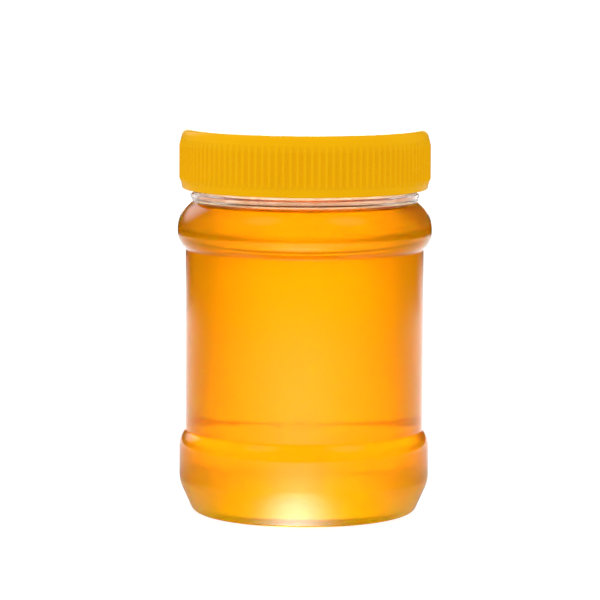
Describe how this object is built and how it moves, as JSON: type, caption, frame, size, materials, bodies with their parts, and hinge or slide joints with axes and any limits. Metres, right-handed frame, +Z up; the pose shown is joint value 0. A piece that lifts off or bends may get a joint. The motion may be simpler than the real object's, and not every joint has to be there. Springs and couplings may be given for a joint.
{
  "type": "honey jar",
  "caption": "Clear plastic honey jar with a bare label panel and a ribbed yellow screw lid, filled with golden honey to the foot of its neck.",
  "frame": {"origin": "centre of the standing ring under the base, on the surface that the jar stands on", "axes": "+Z up along the axis of jar and lid, -Y towards the camera of the picture"},
  "size_m": [0.076, 0.076, 0.115],
  "materials": {
    "clear_plastic": "clear glossy blow-moulded PET",
    "honey": "clear golden honey",
    "yellow_plastic": "opaque yellow moulded polypropylene with a soft sheen"
  },
  "bodies": {
    "root": {"jar": "clear_plastic", "honey": "honey", "lid": "yellow_plastic"}
  },
  "joints": []
}
